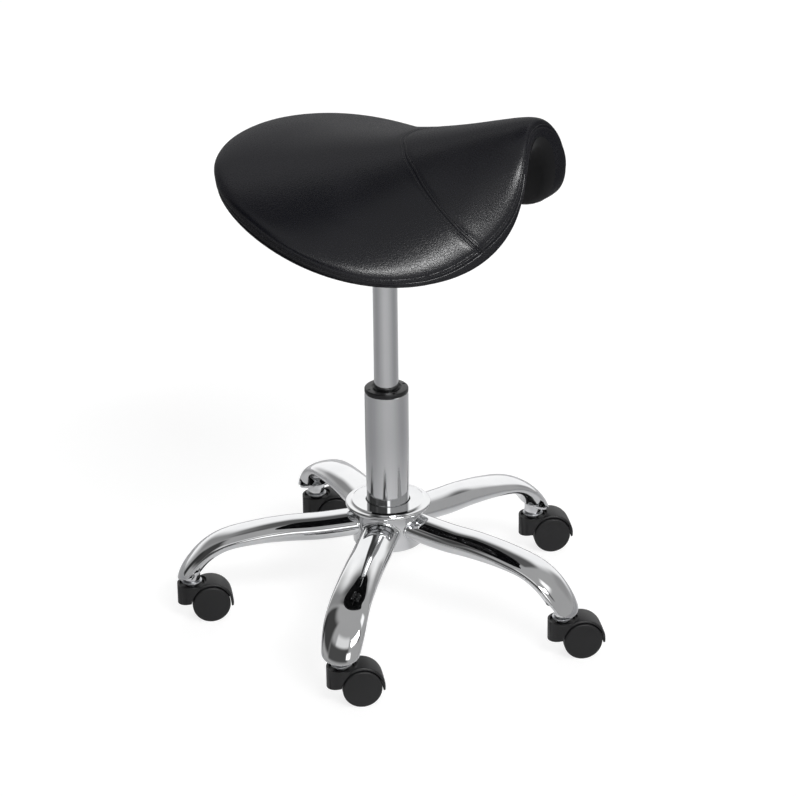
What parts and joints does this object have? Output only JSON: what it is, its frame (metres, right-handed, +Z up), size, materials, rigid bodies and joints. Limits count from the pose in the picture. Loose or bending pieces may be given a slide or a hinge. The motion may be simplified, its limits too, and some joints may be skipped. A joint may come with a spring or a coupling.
{
  "type": "saddle stool",
  "caption": "Saddle stool: padded leather saddle on a height-adjustable gas lift over a chromed star base on casters.",
  "frame": {"origin": "on the floor, under the middle of the whole stool's box", "axes": "+Z up; the sitter faces -Y; the sitter's right hand is towards -X"},
  "size_m": [0.4842, 0.4958, 0.616],
  "materials": {
    "chromed_steel": "mirror polished",
    "zinc_plated_steel": "zinc plated, satin",
    "caster_nylon": "moulded, fine texture",
    "black_plastic": "moulded, semi-gloss",
    "bump_rubber": "matt",
    "black_painted_steel": "black powder coat",
    "shell_plywood": "bare pressed plywood",
    "dust_cloth": "black non-woven cloth",
    "black_leather": "fine grain, soft sheen"
  },
  "bodies": {
    "base": {"hub": "chromed_steel", "hub_flange": "chromed_steel", "arm_1": "chromed_steel", "arm_2": "chromed_steel", "arm_3": "chromed_steel", "arm_4": "chromed_steel", "arm_5": "chromed_steel", "caster_bush_1": "chromed_steel", "caster_bush_2": "chromed_steel", "caster_bush_3": "chromed_steel", "caster_bush_4": "chromed_steel", "caster_bush_5": "chromed_steel", "caster_stem_1": "zinc_plated_steel", "caster_stem_2": "zinc_plated_steel", "caster_stem_3": "zinc_plated_steel", "caster_stem_4": "zinc_plated_steel", "caster_stem_5": "zinc_plated_steel", "column_tube": "chromed_steel", "guide_sleeve": "black_plastic", "thrust_bearing": "zinc_plated_steel"},
    "lift_rod": {"thrust_washer": "zinc_plated_steel", "bump_ring": "bump_rubber", "piston_rod": "zinc_plated_steel", "piston": "black_plastic", "retaining_clip": "zinc_plated_steel"},
    "seat": {"lift_cylinder": "chromed_steel", "taper_socket": "black_painted_steel", "mechanism_box": "black_painted_steel", "pivot_pin": "zinc_plated_steel", "seat_plate": "black_painted_steel", "plate_screw_1": "zinc_plated_steel", "plate_screw_2": "zinc_plated_steel", "plate_screw_3": "zinc_plated_steel", "plate_screw_4": "zinc_plated_steel", "seat_shell": "shell_plywood", "under_cover": "dust_cloth", "seat_pad": "black_leather"},
    "valve": {"valve_pin": "zinc_plated_steel"},
    "lever": {"lever_rod": "black_painted_steel", "lever_grip": "black_plastic"},
    "caster_1": {"caster_housing_1": "caster_nylon", "caster_axle_1": "zinc_plated_steel"},
    "left_wheel_1": {"wheel_left_1": "caster_nylon"},
    "right_wheel_1": {"wheel_right_1": "caster_nylon"},
    "caster_2": {"caster_housing_2": "caster_nylon", "caster_axle_2": "zinc_plated_steel"},
    "left_wheel_2": {"wheel_left_2": "caster_nylon"},
    "right_wheel_2": {"wheel_right_2": "caster_nylon"},
    "caster_3": {"caster_housing_3": "caster_nylon", "caster_axle_3": "zinc_plated_steel"},
    "left_wheel_3": {"wheel_left_3": "caster_nylon"},
    "right_wheel_3": {"wheel_right_3": "caster_nylon"},
    "caster_4": {"caster_housing_4": "caster_nylon", "caster_axle_4": "zinc_plated_steel"},
    "left_wheel_4": {"wheel_left_4": "caster_nylon"},
    "right_wheel_4": {"wheel_right_4": "caster_nylon"},
    "caster_5": {"caster_housing_5": "caster_nylon", "caster_axle_5": "zinc_plated_steel"},
    "left_wheel_5": {"wheel_left_5": "caster_nylon"},
    "right_wheel_5": {"wheel_right_5": "caster_nylon"}
  },
  "joints": [
    {"name": "seat_swivel", "type": "hinge", "parent": "base", "child": "lift_rod", "pos_m": [0.00096, 0.02647, 0.11], "axis": [0, 0, 1], "continuous": true},
    {"name": "seat_height", "type": "slide", "parent": "lift_rod", "child": "seat", "axis": [0, 0, 1], "range_m": [-0.12, 0]},
    {"name": "height_lever", "type": "hinge", "parent": "seat", "child": "lever", "pos_m": [-0.02104, 0.02647, 0.5091], "axis": [0, 1, 0], "range_deg": [0, 5], "stiffness_Nm_per_rad": 2, "springref_deg": -5.73},
    {"name": "valve_press", "type": "slide", "parent": "seat", "child": "valve", "axis": [0, 0, -1], "range_m": [0, 0.002]},
    {"name": "caster_swivel_1", "type": "hinge", "parent": "base", "child": "caster_1", "pos_m": [-0.10238, 0.23061, 0.04], "axis": [0, 0, 1], "continuous": true},
    {"name": "left_wheel_roll_1", "type": "hinge", "parent": "caster_1", "child": "left_wheel_1", "pos_m": [-0.09175, 0.2125, 0.022], "axis": [0.8625, 0.506, 0], "continuous": true},
    {"name": "right_wheel_roll_1", "type": "hinge", "parent": "caster_1", "child": "right_wheel_1", "pos_m": [-0.09175, 0.2125, 0.022], "axis": [0.8625, 0.506, 0], "continuous": true},
    {"name": "caster_swivel_2", "type": "hinge", "parent": "base", "child": "caster_2", "pos_m": [-0.22512, -0.00873, 0.04], "axis": [0, 0, 1], "continuous": true},
    {"name": "left_wheel_roll_2", "type": "hinge", "parent": "caster_2", "child": "left_wheel_2", "pos_m": [-0.21449, -0.02684, 0.022], "axis": [0.8625, 0.506, 0], "continuous": true},
    {"name": "right_wheel_roll_2", "type": "hinge", "parent": "caster_2", "child": "right_wheel_2", "pos_m": [-0.21449, -0.02684, 0.022], "axis": [0.8625, 0.506, 0], "continuous": true},
    {"name": "caster_swivel_3", "type": "hinge", "parent": "base", "child": "caster_3", "pos_m": [-0.03542, -0.19941, 0.04], "axis": [0, 0, 1], "continuous": true},
    {"name": "left_wheel_roll_3", "type": "hinge", "parent": "caster_3", "child": "left_wheel_3", "pos_m": [-0.0248, -0.21753, 0.022], "axis": [0.8625, 0.506, 0], "continuous": true},
    {"name": "right_wheel_roll_3", "type": "hinge", "parent": "caster_3", "child": "right_wheel_3", "pos_m": [-0.0248, -0.21753, 0.022], "axis": [0.8625, 0.506, 0], "continuous": true},
    {"name": "caster_swivel_4", "type": "hinge", "parent": "base", "child": "caster_4", "pos_m": [0.20455, -0.07793, 0.04], "axis": [0, 0, 1], "continuous": true},
    {"name": "left_wheel_roll_4", "type": "hinge", "parent": "caster_4", "child": "left_wheel_4", "pos_m": [0.21518, -0.09604, 0.022], "axis": [0.8625, 0.506, 0], "continuous": true},
    {"name": "right_wheel_roll_4", "type": "hinge", "parent": "caster_4", "child": "right_wheel_4", "pos_m": [0.21518, -0.09604, 0.022], "axis": [0.8625, 0.506, 0], "continuous": true},
    {"name": "caster_swivel_5", "type": "hinge", "parent": "base", "child": "caster_5", "pos_m": [0.16317, 0.18784, 0.04], "axis": [0, 0, 1], "continuous": true},
    {"name": "left_wheel_roll_5", "type": "hinge", "parent": "caster_5", "child": "left_wheel_5", "pos_m": [0.17379, 0.16972, 0.022], "axis": [0.8625, 0.506, 0], "continuous": true},
    {"name": "right_wheel_roll_5", "type": "hinge", "parent": "caster_5", "child": "right_wheel_5", "pos_m": [0.17379, 0.16972, 0.022], "axis": [0.8625, 0.506, 0], "continuous": true}
  ],
  "couplings": [
    {"joint": "valve_press", "follows": "height_lever", "m_per_rad": 0.022}
  ]
}
